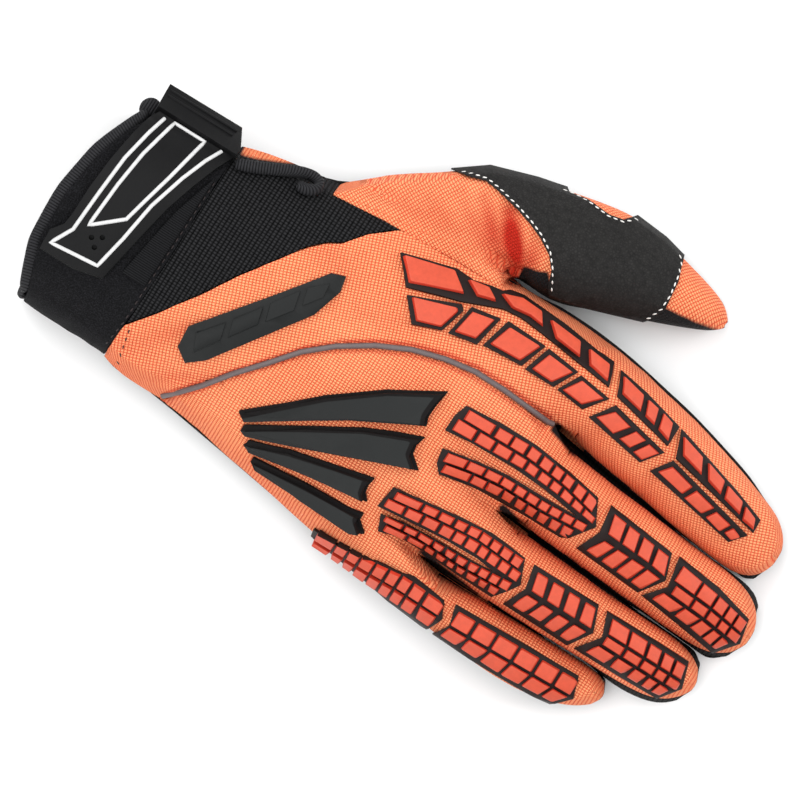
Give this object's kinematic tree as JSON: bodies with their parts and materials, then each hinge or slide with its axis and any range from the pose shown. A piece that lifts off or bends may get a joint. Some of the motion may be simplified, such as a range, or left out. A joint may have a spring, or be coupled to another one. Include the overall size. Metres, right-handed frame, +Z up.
{
  "type": "motocross glove",
  "caption": "Full-finger motocross glove with a hollow cloth and leather shell, moulded finger and knuckle guards, a neoprene cuff and a wrist strap tab.",
  "frame": {"origin": "centre of the glove's bounding box in plan, on the plane it rests on", "axes": "+X from the wrist to the fingertips, +Y to the thumb side, +Z up from the palm to the back"},
  "size_m": [0.2508, 0.1416, 0.0468],
  "materials": {
    "orange_nylon": "matt woven nylon",
    "black_mesh": "coarse matt mesh",
    "gusset_knit": "ribbed knit",
    "neoprene": "matt, finely textured",
    "binding_tape": "ribbed tape",
    "elastic": "ribbed elastic",
    "palm_leather": "matt synthetic leather",
    "patch_leather": "suede-like, white stitches",
    "guard_rubber": "soft sheen, dark base between orange blocks",
    "blade_rubber": "dark slate, soft sheen",
    "plate_rubber": "soft sheen",
    "tab_rubber": "satin, white raised lines",
    "piping": "grey cord"
  },
  "bodies": {
    "root": {"back_lower_panel": "orange_nylon", "back_plate": "plate_rubber", "back_upper_panel": "orange_nylon", "blade_1": "blade_rubber", "blade_2": "blade_rubber", "blade_3": "blade_rubber", "blade_4": "blade_rubber", "cuff": "neoprene", "cuff_binding": "binding_tape", "elastic_band": "elastic", "gusset_index_middle": "gusset_knit", "gusset_middle_ring": "gusset_knit", "gusset_ring_little": "gusset_knit", "index_base_lower_1": "guard_rubber", "index_base_lower_2": "guard_rubber", "index_base_lower_3": "guard_rubber", "index_base_lower_4": "guard_rubber", "index_base_lower_5": "guard_rubber", "index_base_upper": "guard_rubber", "index_mid_lower": "guard_rubber", "index_mid_upper": "guard_rubber", "index_tip_lower": "guard_rubber", "index_tip_upper": "guard_rubber", "little_base": "guard_rubber", "little_tip": "guard_rubber", "middle_base": "guard_rubber", "middle_mid": "guard_rubber", "middle_tip": "guard_rubber", "palm_panel": "palm_leather", "ring_base": "guard_rubber", "ring_mid": "guard_rubber", "ring_tip": "guard_rubber", "seam_piping": "piping", "slit_binding": "binding_tape", "strap_tab": "tab_rubber", "thumb_panel": "orange_nylon", "thumb_patch": "patch_leather", "wrist_yoke": "black_mesh"}
  },
  "joints": []
}
